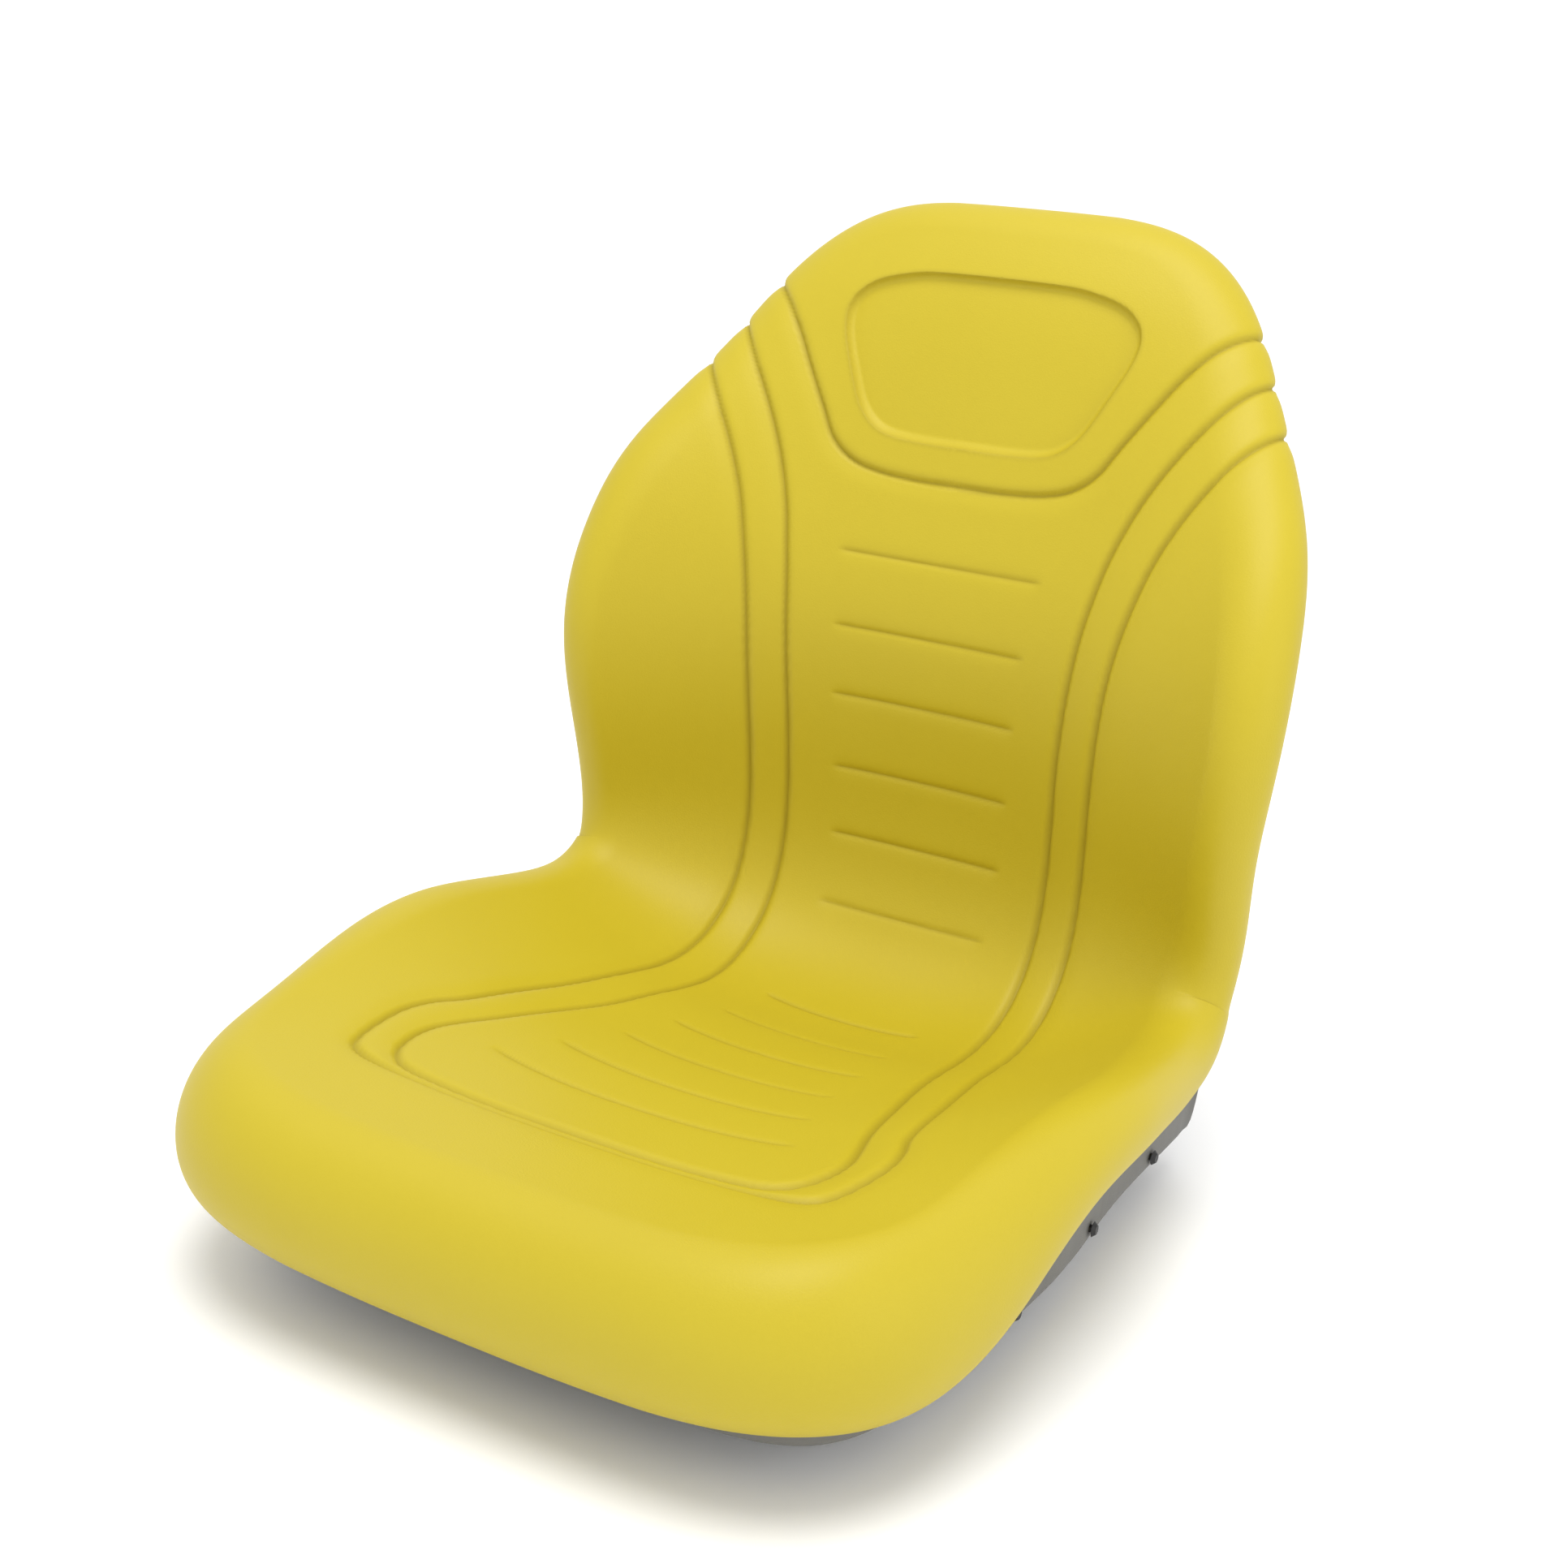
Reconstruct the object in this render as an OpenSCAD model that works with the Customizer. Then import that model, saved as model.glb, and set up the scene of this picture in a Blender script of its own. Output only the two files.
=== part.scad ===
// High-back bucket seat for a farm or yard machine, on a pair of slide rails.
// Millimetres. +Z up, the sitter faces -Y, +X is the sitter's left-to-right axis seen from the front.
// Origin: centre of the four-hole mounting pattern, on the flat underside of the lower rails.

/* [Cushion] */
// overall width of the moulded cushion
seat_width = 493; // [410:1:600]
// overall front-to-back size of the moulded cushion
seat_depth = 604; // [500:1:730]
// height of the top edge above the mounting face
seat_height = 566; // [480:1:690]
// thickness of the cushion in the middle of the back
cushion_thickness = 45; // [37:1:56]
// sideways bulge of the rolled edge beyond the flat of the cushion
edge_roll = 28; // [22:1:34]
// how strongly the side wings stand up, 1 is the normal bucket
wing_rise = 1; // [0.8:0.01:1.2]
// thickness of the moulded cover
skin_thickness = 2.5; // [2:0.1:3.2]
// gap kept between the soft layers and the pan
soft_gap = 0.4; // [0.3:0.05:0.6]

/* [Pan] */
// wall thickness of the moulded pan
pan_wall = 3.5; // [3:0.1:4.5]
// how far the pan side wall is set in from the cushion edge
pan_inset = 24; // [20:1:27]
// how far the pan wall is set in at the front
pan_front_inset = 6; // [3:1:8]
// how much closer the wall comes to the edge at the hips than beside the thighs
pan_taper = 7; // [3:1:9]
// width of the push-in clip heads around the pan wall
clip_head = 9; // [8:0.5:11]

/* [Slide rails] */
// distance between the two slide rails, which is the pattern's width
rail_spacing = 286; // [240:1:310]
// distance between front and rear bolts, which is the pattern's length
bolt_spacing = 260; // [220:1:270]
// length of each rail
rail_length = 300; // [290:1:340]
// height of a closed rail pair, from the mounting face to the pan
rail_height = 30; // [28:1:36]
// width of the lower rail
rail_width = 44; // [42:1:50]
// sheet thickness of both rails
rail_sheet = 3; // [2.5:0.1:3.4]
// width of the upper rail's stem
stem_width = 26; // [24:0.5:28]
// fore and aft travel each way from the middle
slide_travel = 60; // [50:1:70]
// running clearance of the glide shoes
slide_clearance = 0.15; // [0.1:0.05:0.3]
// bolt diameter, upper rail to pan
bolt_d = 8; // [6:0.5:10]
// clearance of a bolt in its hole, on the radius
bolt_clearance = 0.25; // [0.2:0.05:0.6]
// diameter of the holes in the lower rails
mount_hole_d = 8.5; // [7:0.5:10.5]

/* [Adjusting lever] */
// length of the lever in front of its pivot
lever_length = 185; // [150:1:195]
// thickness of the lever bar
lever_thickness = 5; // [4:0.1:6]
// diameter of the lever's pivot pin
pivot_d = 8; // [7:0.5:9.5]
// running clearance of the lever on its pin, on the radius
pivot_clearance = 0.06; // [0.04:0.01:0.1]
// pitch of the latch notches
notch_pitch = 15; // [13:1:18]
// width of a latch notch
notch_width = 7; // [6:0.5:8]
// swing that puts the latch tooth into a notch, degrees
latch_swing = 5; // [4:0.5:6]

/* [Occupancy switch] */
// outer diameter of the switch body
switch_d = 38; // [32:1:44]
// diameter of the switch plunger
plunger_d = 12; // [10:0.5:14]
// stroke of the plunger
plunger_stroke = 4; // [3:0.5:5]
// running clearance of the plunger, on the radius
plunger_clearance = 0.08; // [0.05:0.01:0.1]

/* [Hidden] */
$fn = 48;

yellow = [0.89, 0.82, 0.27];
grey = [0.4, 0.39, 0.38];
steel = [0.55, 0.56, 0.58];
dark = [0.12, 0.12, 0.13];

// ---- centre profile of the cushion, front lip to top edge: y, z
profile = [[-244, 126], [-184, 121], [-126, 112], [-63, 104], [-6, 93], [48, 88], [100, 76], [151, 82],
    [192, 114], [204, 169], [197, 231], [191, 292], [198, 345], [215, 398], [230, 457], [248, 516],
    [271, 550]];
// half width of the flat, wing rise, edge bulge and edge thickness at the same stations
half_w = [206, 210, 204, 205, 210, 203, 194, 192, 188, 197, 200, 209, 198, 183, 155, 141, 137];
wing = [18, 15, 30, 40, 43, 43, 52, 52, 56, 53, 60, 56, 50, 41, 13, -15, -25];
bulge = [37, 25, 26, 28, 26, 27, 29, 30, 29, 24, 21, 20, 29, 39, 41, 38, 32];
thick = [89, 95, 70, 54, 47, 47, 49, 50, 49, 44, 43, 45, 54, 56, 49, 44, 50];
u_end = len(profile) - 1;
front_square = 6.7; // how square the front corners are
top_square = 5.4;   // how square the top corners are
wing_power = 2.7;   // how late the wings turn up

base_z = rail_height;
kx = (seat_width / 2 - edge_roll) / (246.5 - 28);
ky = (seat_depth - 2 * edge_roll) / (604 - 56);
kz = (seat_height - base_z) / (566 - 30);
kr = edge_roll / 28;
kt = cushion_thickness / 45;

prof = [for (p = profile) [p[0] * ky, base_z + (p[1] - 30) * kz]];

function spl(P, u) = let (n = len(P), v = max(0, min(n - 1 - 1e-6, u)), i = floor(v), f = v - i,
    a = i > 0 ? P[i - 1] : 2 * P[0] - P[1], d = i + 2 < n ? P[i + 2] : 2 * P[n - 1] - P[n - 2])
    (a * pow(1 - f, 3) + P[i] * (3 * f * f * f - 6 * f * f + 4)
    + P[i + 1] * (-3 * f * f * f + 3 * f * f + 3 * f + 1) + d * f * f * f) / 6;
function unit(v) = v / max(norm(v), 1e-9);
function inside(u) = max(0.01, min(u_end - 0.01, u));
function up2(u) = let (v = inside(u), d = unit(spl(prof, v + 0.005) - spl(prof, v - 0.005))) [-d[1], d[0]];
function edge_t(u) = spl(thick, u) * kz * kt;
// a point of the sitting surface at profile position u, x off centre
function sheet(u, x) = let (c = spl(prof, u), n = up2(u),
    h = spl(wing, u) * wing_rise * pow(abs(x) / (200 * kx), wing_power) + spl(thick, u) * kz * (kt - 1))
    [x, c[0] + n[0] * h, c[1] + n[1] * h];
function up3(u, x) = let (v = inside(u))
    unit(cross(sheet(v, x + 0.5) - sheet(v, x - 0.5), sheet(v + 0.005, x) - sheet(v - 0.005, x)));

// ---- outline of the cushion: a squared oval in (u, x), walked at even steps
u_mid = u_end / 2;
spine = 0.6;
function square_at(c) = c > 0 ? front_square : top_square;
function oc(q) = let (c = cos(q)) sign(c) * pow(abs(c), 2 / square_at(c));
function os(q) = let (s = sin(q)) sign(s) * pow(abs(s), 2 / square_at(cos(q)));
function rim_u(q) = u_mid - u_mid * oc(q);
function rim_x(q) = spl(half_w, rim_u(q)) * kx * os(q);
function rim(q) = sheet(rim_u(q), rim_x(q));
NQ = 96;
fine = [for (i = [0:360]) rim(i / 2)];
seg = [for (i = [1:360]) norm(fine[i] - fine[i - 1])];
walk = [for (i = 0, s = 0; i <= 360; s = s + (i < 360 ? seg[i] : 0), i = i + 1) [s, i / 2]];
half_len = walk[360][0];
step = half_len / (NQ / 2);
Q = [for (j = [0:NQ - 1]) j <= NQ / 2 ? lookup(j * step, walk) : 360 - lookup((NQ - j) * step, walk)];
RU = [for (q = Q) rim_u(q)];
RX = [for (j = [0:NQ - 1]) j == 0 || j == NQ / 2 ? 0 : rim_x(Q[j])];
RC = [for (q = Q) oc(q)];
SP = [for (j = [0:NQ - 1]) u_mid - u_mid * spine * cos(360 * j / NQ)];
RP = [for (j = [0:NQ - 1]) sheet(RU[j], RX[j])];
RN = [for (j = [0:NQ - 1]) up3(RU[j], RX[j])];
RO = [for (j = [0:NQ - 1])
    let (t = unit(RP[(j + 1) % NQ] - RP[(j + NQ - 1) % NQ]), o = unit(cross(t, RN[j])),
    away = RP[j] - sheet(SP[j], 0)) o * away < 0 ? -o : o];
RT = [for (u = RU) edge_t(u)];
RR = [for (u = RU) spl(bulge, u) * kr];

// ---- rings of points. depth is measured down from the outer surface of the cover
function top_ring(p, depth) = [for (j = [0:NQ - 1]) let (u = SP[j] + (RU[j] - SP[j]) * p, x = RX[j] * p)
    sheet(u, x) - up3(u, x) * depth];
function roll_ring(a, depth) = [for (j = [0:NQ - 1])
    RP[j] + RO[j] * ((RR[j] - depth) * sin(a)) - RN[j] * (RT[j] / 2 - (RT[j] / 2 - depth) * cos(a))];
function under_ring(inset, below) = [for (j = [0:NQ - 1]) RP[j] - RN[j] * (RT[j] + below) - RO[j] * inset];
// flat: 1 under the seat, 0 up the back
function flat(u) = let (f = max(0, min(1, (9.8 - u) / 1.8))) f * f * (3 - 2 * f);
function side_in(u) = pan_inset + pan_taper * (1 - 2 * max(0, min(1, (u - 4) / 3.5)));
function wall_in(j) = side_in(RU[j]) - (side_in(RU[j]) - pan_front_inset) * pow(max(0, RC[j]), 3);
function floor_ring(p, below, z) = [for (j = [0:NQ - 1])
    let (u = SP[j] + (RU[j] - SP[j]) * p, x = RX[j] * p,
    s = sheet(u, x) - up3(u, x) * (edge_t(u) + below), f = flat(u)) [s[0], s[1], s[2] * (1 - f) + z * f]];
function wall_ring(extra, below, z, low, least = -99) = [for (j = [0:NQ - 1])
    let (inset = max(least, wall_in(j) + extra),
    s = RP[j] - RN[j] * (RT[j] + below) - RO[j] * inset, f = flat(RU[j]) * low)
    [s[0], s[1], s[2] * (1 - f) + z * f]];

// closed skin through a list of rings; the first and last rings are a folded spine.
// Rows from turn on are split along the other diagonal, so that two facing skins have the same facets
function folded(j) = j <= NQ / 2 ? j : NQ - j;
module ring_solid(R, turn) {
    n = len(R);
    pts = [for (j = [0:NQ / 2]) R[0][j], for (i = [1:n - 2]) each R[i], for (j = [0:NQ / 2]) R[n - 1][j]];
    h = NQ / 2 + 1;
    function id(i, j) = i == 0 ? folded(j % NQ)
        : i == n - 1 ? h + (n - 2) * NQ + folded(j % NQ)
        : h + (i - 1) * NQ + j % NQ;
    function even(i, j) = (floor(4 * j / NQ) + (i >= turn ? 1 : 0)) % 2 == 0;
    f = [for (i = [0:n - 2], j = [0:NQ - 1])
        let (a = id(i, j), b = id(i, j + 1), c = id(i + 1, j + 1), d = id(i + 1, j))
        each (even(i, j) ? [if (a != b) [a, b, c], if (c != d) [a, c, d]]
            : [if (a != b) [a, b, d], if (c != d) [b, c, d]])];
    polyhedron(pts, f, convexity = 8);
}

P_TOP = [0, 0.22, 0.42, 0.6, 0.74, 0.86, 0.94, 1];
P_FLOOR = [0, 0.25, 0.5, 0.66, 0.76];
roll_steps = 8;
skin_return = 1.5; // how far the cover returns under the edge
foam_in = skin_thickness + soft_gap;
floor_top = base_z + pan_wall;

// ---- hardware positions
bolt_at = [for (x = [-1, 1], y = [-1, 1]) [x * rail_spacing / 2, y * bolt_spacing / 2]];
insert_d = bolt_d + 4;
insert_flange = 1.2;
insert_height = 14;
switch_y = 20;
neck_d = switch_d * 0.66;
neck_top = floor_top + 10;
plunger_top = neck_top + 4 + plunger_stroke;
drain_at = [[-70, 105], [70, 105]];
drain_r = 5;
clip_j = [for (y = [-85, 20, 127])
    let (c = [for (j = [1:NQ / 2 - 1]) abs(rim_mid(j)[1] - y * ky)]) search(min(c), c)[0] + 1];
clip_js = concat(clip_j, [for (j = clip_j) NQ - j]);
function rim_mid(j) = let (s = RP[j] - RN[j] * RT[j] - RO[j] * wall_in(j)) s;
function clip_pos(j) = let (below = RT[j] + soft_gap + pan_wall,
    s = RP[j] - RN[j] * below - RO[j] * wall_in(j), f = flat(RU[j]),
    lowz = s[2] * (1 - f) + base_z * f) [s[0], s[1], lowz + min(10, (s[2] - lowz) / 2)];
function clip_dir(j) = let (t = clip_pos(j + 1) - clip_pos(j - 1), o = unit([t[1], -t[0], 0]))
    o * RO[j] < 0 ? -o : o;
clip_shank = clip_head * 0.5;
// turns +Z to a level direction and stands at a point
module along(p, d) { translate(p) rotate([0, 90, atan2(d[1], d[0])]) children(); }
module tube(d, bore, h) {
    difference() {
        cylinder(d = d, h = h);
        translate([0, 0, -1]) cylinder(d = bore, h = h + 2);
    }
}
module coil(r, wire, turns, h) {
    for (k = [0:turns]) translate([0, 0, wire / 2 + k * (h - wire) / turns])
        rotate_extrude() translate([r, 0]) circle(d = wire, $fn = 16);
    for (a = [0:turns - 1]) rotate([0, 0, a * 90]) translate([r, 0, wire / 2 + a * (h - wire) / turns])
        cylinder(d = wire * 0.8, h = (h - wire) / turns, $fn = 16);
}

module seat_skin() {
    color(yellow) ring_solid(concat(
        [for (p = P_TOP) top_ring(p, 0)],
        [for (k = [1:roll_steps]) roll_ring(k * 180 / roll_steps, 0)],
        [under_ring(skin_return, 0), under_ring(skin_return, -skin_thickness)],
        [for (k = [roll_steps:-1:1]) roll_ring(k * 180 / roll_steps, skin_thickness)],
        [for (i = [len(P_TOP) - 1:-1:0]) top_ring(P_TOP[i], skin_thickness)]),
        len(P_TOP) + roll_steps + 1);
}

module foam_core() {
    wall_gap = pan_wall + soft_gap;
    least = skin_return + soft_gap;
    color([0.93, 0.9, 0.8]) difference() {
        ring_solid(concat(
            [for (p = P_TOP) top_ring(p, foam_in)],
            [for (k = [1:roll_steps]) roll_ring(k * 180 / roll_steps, foam_in)],
            [wall_ring(wall_gap, -foam_in, 0, 0, least),
            wall_ring(wall_gap + 1, 0, floor_top + soft_gap, 1, least + 1)],
            [for (i = [len(P_FLOOR) - 1:-1:0]) floor_ring(P_FLOOR[i], 0, floor_top + soft_gap)]),
            len(P_TOP) + roll_steps + len(P_FLOOR));
        pan_shell(0.9 * soft_gap); // the foam takes the shape of the pan where the two twist together
        for (b = bolt_at) translate([b[0], b[1], base_z]) cylinder(d = insert_d + 3, h = insert_height + 3);
        translate([0, switch_y, base_z]) cylinder(d = neck_d + 14, h = plunger_top - base_z + 3);
        for (j = clip_js) along(clip_pos(j) - clip_dir(j) * 14, clip_dir(j))
            cylinder(d = clip_shank + 3, h = 14);
    }
}

// the pan without its holes; its upper faces stand higher by more
module pan_shell(more) {
    near = soft_gap - more;
    deep = soft_gap + pan_wall;
    ring_solid(concat(
        [for (p = P_FLOOR) floor_ring(p, near, floor_top + more)],
        [wall_ring(pan_wall + 1 + more, near, floor_top + more, 1), wall_ring(pan_wall + more, near, 0, 0),
        wall_ring(-1, near, 0, 0), wall_ring(-1, deep, 0, 0), wall_ring(0, deep, 0, 0),
        wall_ring(1, deep, base_z, 1)],
        [for (i = [len(P_FLOOR) - 1:-1:0]) floor_ring(P_FLOOR[i], deep, base_z)]),
        1);
}

module seat_pan() {
    color(grey) difference() {
        pan_shell(0);
        for (b = bolt_at) translate([b[0], b[1], base_z - 2]) cylinder(d = insert_d, h = pan_wall + 4);
        translate([0, switch_y, base_z - 2]) cylinder(d = neck_d + 0.6, h = pan_wall + 4);
        for (d = drain_at) translate([d[0], d[1], base_z - 2]) cylinder(r = drain_r + 2, h = pan_wall + 4);
        for (j = clip_js) along(clip_pos(j) - clip_dir(j) * 12, clip_dir(j))
            cylinder(d = clip_shank, h = 20);
    }
}

module threaded_inserts() {
    color(steel) for (b = bolt_at) translate([b[0], b[1], base_z]) difference() {
        cylinder(d = insert_d, h = insert_height);
        translate([0, 0, -1]) cylinder(d = bolt_d, h = insert_height + 2);
    }
}

module shell_clips() {
    color(dark) for (j = clip_js) along(clip_pos(j), clip_dir(j)) {
        translate([0, 0, -9]) cylinder(d = clip_shank, h = 11);
        translate([0, 0, 1.2]) cylinder(d1 = clip_head, d2 = clip_head * 0.6, h = 2.2);
    }
}

module drain_grommets() {
    color(dark) for (d = drain_at) translate([d[0], d[1], base_z]) rotate_extrude() polygon([
        [drain_r, -1.6], [drain_r + 5, -1.6], [drain_r + 5, 0], [drain_r + 2, 0],
        [drain_r + 2, pan_wall + soft_gap * 0.5],
        [drain_r, pan_wall + soft_gap * 0.5]]);
}

module switch_housing() {
    color(dark) translate([0, switch_y, 0]) difference() {
        union() {
            translate([0, 0, base_z - 16]) cylinder(d = switch_d, h = 16);
            cylinder_between(neck_d, base_z - 1, neck_top);
            translate([-9, -switch_d / 2 - 12, base_z - 15]) cube([18, 16, 11]);
        }
        translate([0, 0, base_z - 13]) cylinder(d = neck_d - 5, h = neck_top - base_z + 10);
        translate([0, 0, neck_top - 4]) cylinder(r = plunger_d / 2 + plunger_clearance, h = 5);
        translate([-7, -switch_d / 2 - 13, base_z - 13]) cube([14, 11, 7]);
        for (x = [-4, 4]) translate([x - 0.4, -switch_d / 2 - 10, base_z - 12]) cube([0.8, 10, 5]);
    }
}
module cylinder_between(d, z0, z1) { translate([0, 0, z0]) cylinder(d = d, h = z1 - z0); }

module switch_retainer() {
    color([0.2, 0.2, 0.22]) translate([0, switch_y, floor_top]) tube(neck_d + 9, neck_d, 4);
}

module switch_plunger() {
    color([0.85, 0.85, 0.83]) translate([0, switch_y, 0]) {
        cylinder_between(plunger_d, neck_top - 3.6, plunger_top);
        cylinder_between(plunger_d + 5, neck_top - 7.6, neck_top - 4.1);
        cylinder_between(plunger_d, neck_top - 4.2, neck_top - 3.5);
    }
}

module switch_spring() {
    color(steel) translate([0, switch_y, base_z - 13])
        coil(plunger_d / 2, 1.2, 4, neck_top - 7.8 - (base_z - 13));
}

module switch_terminals() {
    color([0.75, 0.6, 0.3]) for (x = [-4, 4])
        translate([x - 0.4, switch_y - switch_d / 2 - 10, base_z - 12])
        cube([0.8, 10, 5]);
}

// ---- slide rails, drawn for a rail standing on x = 0
lip_z = rail_height / 2 - 1; // top of the lower rail
foot_z = rail_sheet + 2; // underside of the upper rail's feet
slot_w = stem_width + 3;
stop_d = 8;
stop_y = slide_travel + 8 + stop_d / 2 + 1;
module lower_section() {
    difference() {
        translate([-rail_width / 2, 0]) square([rail_width, lip_z]);
        translate([-rail_width / 2 + rail_sheet, rail_sheet])
            square([rail_width - 2 * rail_sheet, lip_z - 2 * rail_sheet]);
        translate([-slot_w / 2, rail_sheet]) square([slot_w, lip_z]);
    }
}
module upper_section() {
    w = rail_width / 2;
    translate([-w, rail_height - rail_sheet]) square([2 * w, rail_sheet]);
    for (s = [-1, 1]) scale([s, 1]) {
        translate([stem_width / 2 - rail_sheet, foot_z]) square([rail_sheet, rail_height - foot_z]);
        translate([stem_width / 2 - rail_sheet, foot_z])
            square([w - 1 - stem_width / 2, rail_sheet]);
    }
}
module along_y(len) { translate([0, len / 2, 0]) rotate([90, 0, 0]) linear_extrude(len) children(); }
module lower_rail(s) {
    color(steel) translate([s * rail_spacing / 2, 0, 0]) difference() {
        along_y(rail_length) lower_section();
        for (y = [-1, 1]) translate([0, y * bolt_spacing / 2, -1])
            cylinder(d = mount_hole_d, h = rail_sheet + 2);
        for (y = [-1, 1]) translate([0, y * stop_y, -1]) cylinder(d = stop_d / 2, h = rail_sheet + 2);
        if (s < 0) for (y = rivet_at) translate([-rail_width / 2 - 1, y, rack_z + rack_h / 2])
            rotate([0, 90, 0]) cylinder(d = rivet_d, h = rail_sheet + 2);
    }
}
module upper_rail(s) {
    color(dark) translate([s * rail_spacing / 2, 0, 0]) difference() {
        union() {
            along_y(rail_length - 4) upper_section();
            translate([-stem_width / 2 + rail_sheet / 2, -8, foot_z])
                cube([stem_width - rail_sheet, 16, rail_height - foot_z - rail_sheet / 2]);
            if (s < 0) translate([-rail_width / 2 - ear, pivot_y - 14, rail_height - rail_sheet])
                cube([ear + 2, 28, rail_sheet]);
        }
        for (y = [-1, 1]) translate([0, y * bolt_spacing / 2, rail_height - rail_sheet - 1])
            cylinder(r = bolt_d / 2 + bolt_clearance, h = rail_sheet + 2);
        if (s < 0) translate([pivot_x, pivot_y, rail_height - rail_sheet - 1])
            cylinder(d = pivot_d - 2, h = rail_sheet + 2);
    }
}
module lower_rail_left() { lower_rail(-1); }
module lower_rail_right() { lower_rail(1); }
module upper_rail_left() { upper_rail(-1); }
module upper_rail_right() { upper_rail(1); }

module rail_stops() {
    color(steel) for (x = [-1, 1], y = [-1, 1]) translate([x * rail_spacing / 2, y * stop_y, 0]) {
        translate([0, 0, rail_sheet]) cylinder(d = stop_d, h = 9);
        translate([0, 0, 0.3]) cylinder(d = stop_d / 2, h = rail_sheet + 1);
    }
}
bolt_head_h = 5;
washer_h = 1.6;
washer_z = rail_height - rail_sheet - washer_h;
module rail_bolts() {
    color(steel) for (b = bolt_at) translate([b[0], b[1], 0]) {
        cylinder_between(bolt_d, washer_z - bolt_head_h + 0.5, base_z + insert_height - 1);
        translate([0, 0, washer_z - bolt_head_h]) cylinder(d = bolt_d * 1.85, h = bolt_head_h, $fn = 6);
    }
}
module rail_washers() {
    color(steel) for (b = bolt_at)
        translate([b[0], b[1], washer_z]) tube(bolt_d * 2.1, bolt_d + 0.4, washer_h);
}
shoe_l = 40;
shoe_gap = 0.6; // shoe to rail, sideways
shoe_w = (rail_width / 2 - 1 - rail_sheet) - stem_width / 2 - 2 * shoe_gap;
shoe_x = stem_width / 2 + 2 * shoe_gap + shoe_w / 2;
shoe_low = foot_z + rail_sheet;
shoe_high = lip_z - rail_sheet;
module glide_shoes() {
    color([0.9, 0.9, 0.88]) for (x = [-1, 1], s = [-1, 1], y = [-1, 1])
        translate([x * rail_spacing / 2 + s * shoe_x, y * (rail_length / 2 - 30), (shoe_low + shoe_high) / 2])
            cube([shoe_w, shoe_l, shoe_high - shoe_low - 2 * slide_clearance], center = true);
}

// ---- adjusting lever on the left rail; it swings about an upright pin, drawn released
ear = 26;
pivot_x = -rail_width / 2 - ear + 11; // from the rail's own centre line
pivot_y = 35;
lever_z = 4;
rack_z = 3;
rack_h = 8;
rack_t = 5;
rivet_d = 4;
px = -rail_spacing / 2 + pivot_x;
rack_face = -rail_spacing / 2 - rail_width / 2 - rack_t; // outer face of the rack
tooth_y = -3 * notch_pitch; // notch that the tooth drops into in the middle of the travel
notch_reach = floor(slide_travel / notch_pitch); // notches either side of that one
rack_l = 2 * notch_reach * notch_pitch + notch_width + 36;
rivet_at = [for (s = [-1, 1]) tooth_y + s * (rack_l / 2 - 7)];
module lever_pivot() {
    color(steel) translate([px, pivot_y, 0]) {
        cylinder_between(pivot_d, lever_z - 0.6, rail_height - rail_sheet);
        cylinder_between(pivot_d - 2, lever_z, rail_height - 0.4);
        cylinder_between(pivot_d + 5, lever_z - 2.4, lever_z - 0.4);
    }
}
module lever_spring() {
    color(steel) translate([px, pivot_y, lever_z + lever_thickness + 1])
        coil(pivot_d / 2 + 2.2, 1.4, 5, rail_height - rail_sheet - lever_z - lever_thickness - 2);
}
module adjust_lever() {
    reach = rack_face - px + 2.6;
    root = notch_width / 2 - 0.9;
    tip = notch_width / 2 - 1.2;
    ty = tooth_y - pivot_y;
    color(steel) translate([px, pivot_y, lever_z]) rotate([0, 0, -latch_swing]) difference() {
        linear_extrude(lever_thickness) union() {
            circle(d = pivot_d + 10);
            polygon([[-7, -3], [-7, -lever_length], [7, -lever_length],
                [7, ty - root], [reach, ty - tip], [reach, ty + tip], [7, ty + root], [7, -3]]);
        }
        translate([0, 0, -1]) cylinder(r = pivot_d / 2 + pivot_clearance, h = lever_thickness + 2);
    }
}
grip_l = 60;
grip_in = 9;   // from the bar's middle to the grip's face on the rail's side
grip_out = 13; // and to its outer face
module lever_grip() {
    round = 4;
    color(dark) translate([px, pivot_y, lever_z + lever_thickness / 2]) rotate([0, 0, -latch_swing])
        translate([0, -lever_length + grip_l - 12, 0]) rotate([90, 0, 0]) difference() {
            linear_extrude(grip_l) offset(r = round) translate([round - grip_out, -lever_thickness / 2 + 1])
                square([grip_in + grip_out - 2 * round, lever_thickness - 2]);
            translate([-7.1, -lever_thickness / 2 - 0.1, -1])
                cube([14.2, lever_thickness + 0.2, grip_l - 11]);
        }
}
head_h = 1.6; // depth of a rivet's sunk head
head_d = rivet_d + 3;
module latch_rack() {
    color(steel) difference() {
        translate([rack_face, tooth_y - rack_l / 2, rack_z]) cube([rack_t, rack_l, rack_h]);
        for (k = [-notch_reach:notch_reach])
            translate([rack_face - 1, tooth_y + k * notch_pitch - notch_width / 2, rack_z - 1])
            cube([4.2, notch_width, rack_h + 2]);
        at_rivets() {
            translate([0, 0, -1]) cylinder(d = rivet_d, h = rack_t + 2);
            translate([0, 0, -1]) cylinder(d = head_d, h = head_h + 1);
        }
    }
}
// stands at each rivet on the rack's outer face, with +Z towards the rail
module at_rivets() {
    for (y = rivet_at) translate([rack_face, y, rack_z + rack_h / 2]) rotate([0, 90, 0]) children();
}
module rack_rivets() {
    color(steel) at_rivets() {
        cylinder(d = head_d, h = head_h);
        translate([0, 0, head_h]) cylinder(d = rivet_d, h = rack_t + rail_sheet - head_h);
    }
}

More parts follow.
